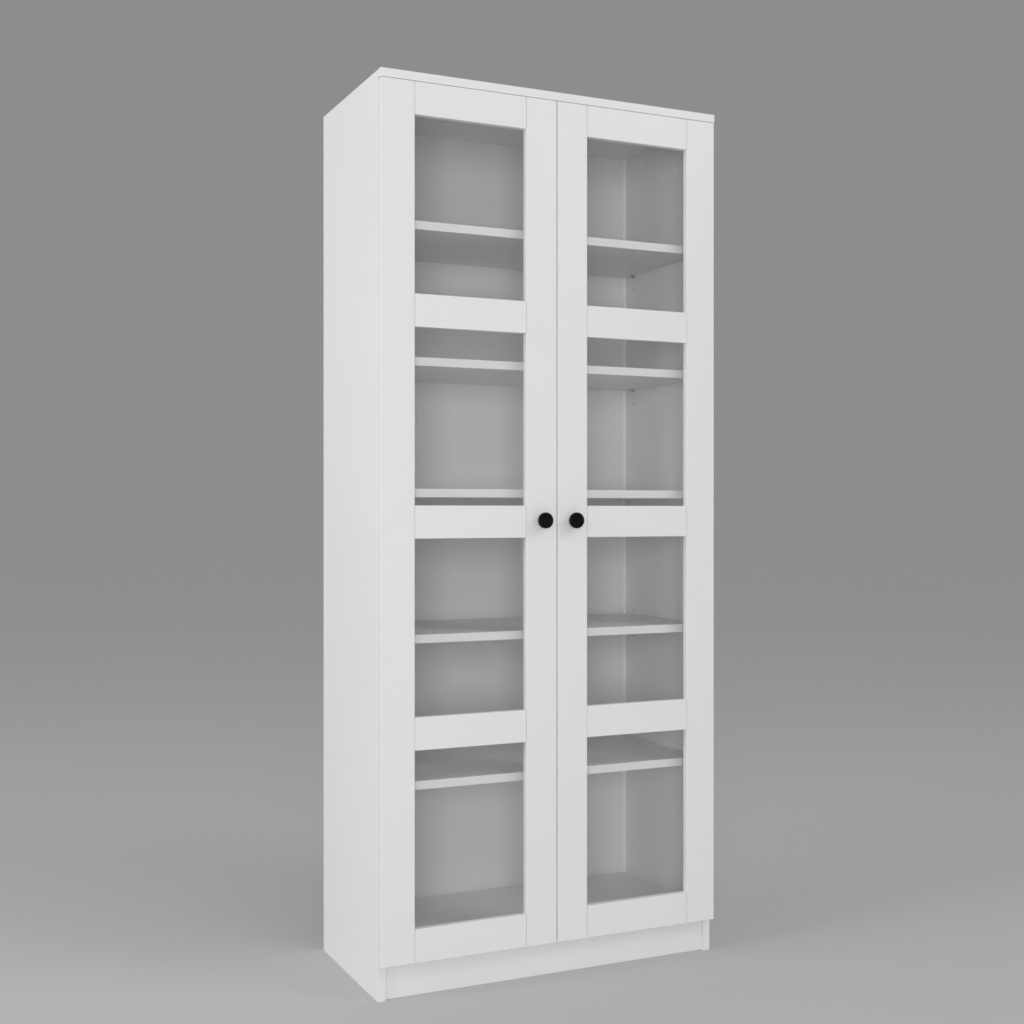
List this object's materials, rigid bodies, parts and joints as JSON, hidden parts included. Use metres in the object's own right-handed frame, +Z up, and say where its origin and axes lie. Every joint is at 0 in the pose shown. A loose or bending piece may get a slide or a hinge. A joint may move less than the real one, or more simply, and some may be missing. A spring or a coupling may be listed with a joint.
{
  "type": "glazed display bookcase",
  "caption": "Tall white storage cabinet with a pair of hinged glazed doors, round black knobs, inner shelves, a full-width top and a recessed plinth.",
  "frame": {"origin": "centre of the base of the bounding box, on the floor", "axes": "+Z up, +Y towards the back, the doors face -Y, +X to the right of someone facing the doors"},
  "size_m": [0.8, 0.413, 1.9],
  "materials": {
    "white_board": "satin melamine on particleboard",
    "white_frame": "satin lacquer on fibreboard",
    "back_sheet": "matt white foil on hardboard",
    "clear_glass": "polished float glass",
    "black_lacquer": "satin black lacquer",
    "hinge_steel": "nickel-plated",
    "zinc_steel": "bright zinc",
    "beech": "raw",
    "white_plastic": "moulded",
    "soft_bumper": "soft"
  },
  "bodies": {
    "carcass": {"left_side_panel": "white_board", "right_side_panel": "white_board", "top_board": "white_board", "bottom_board": "white_board", "fixed_shelf": "white_board", "lower_shelf": "white_board", "lower_middle_shelf": "white_board", "upper_middle_shelf": "white_board", "upper_shelf": "white_board", "back_sheet_lower": "back_sheet", "back_sheet_upper": "back_sheet", "front_plinth": "white_board", "rear_plinth": "white_board", "shelf_pins": "zinc_steel", "case_dowels": "beech", "cam_bolts": "zinc_steel", "cam_locks": "zinc_steel", "back_screws": "zinc_steel", "wall_brackets": "zinc_steel", "bracket_screws": "zinc_steel", "cam_caps": "white_plastic", "corner_beads": "white_plastic", "door_bumpers": "soft_bumper", "left_hinge_arms": "hinge_steel", "right_hinge_arms": "hinge_steel", "left_hinge_plates": "hinge_steel", "right_hinge_plates": "hinge_steel", "hinge_plate_screws": "zinc_steel", "hinge_arm_screws": "zinc_steel"},
    "left_door": {"left_outer_stile": "white_frame", "left_inner_stile": "white_frame", "left_bottom_rail": "white_frame", "left_lower_rail": "white_frame", "left_middle_rail": "white_frame", "left_upper_rail": "white_frame", "left_top_rail": "white_frame", "left_glass_panes": "clear_glass", "left_glass_clips": "white_plastic", "left_frame_dowels": "beech", "left_hinge_cups": "hinge_steel", "left_hinge_pins": "zinc_steel", "left_cup_screws": "zinc_steel", "left_knob": "black_lacquer", "left_knob_screw": "zinc_steel"},
    "right_door": {"right_outer_stile": "white_frame", "right_inner_stile": "white_frame", "right_bottom_rail": "white_frame", "right_lower_rail": "white_frame", "right_middle_rail": "white_frame", "right_upper_rail": "white_frame", "right_top_rail": "white_frame", "right_glass_panes": "clear_glass", "right_glass_clips": "white_plastic", "right_frame_dowels": "beech", "right_hinge_cups": "hinge_steel", "right_hinge_pins": "zinc_steel", "right_cup_screws": "zinc_steel", "right_knob": "black_lacquer", "right_knob_screw": "zinc_steel"}
  },
  "joints": [
    {"name": "left_door_hinge", "type": "hinge", "parent": "carcass", "child": "left_door", "pos_m": [-0.39205, -0.175, 0.977], "axis": [0, 0, -1], "range_deg": [0, 95]},
    {"name": "right_door_hinge", "type": "hinge", "parent": "carcass", "child": "right_door", "pos_m": [0.39205, -0.175, 0.977], "axis": [0, 0, 1], "range_deg": [0, 95]}
  ]
}
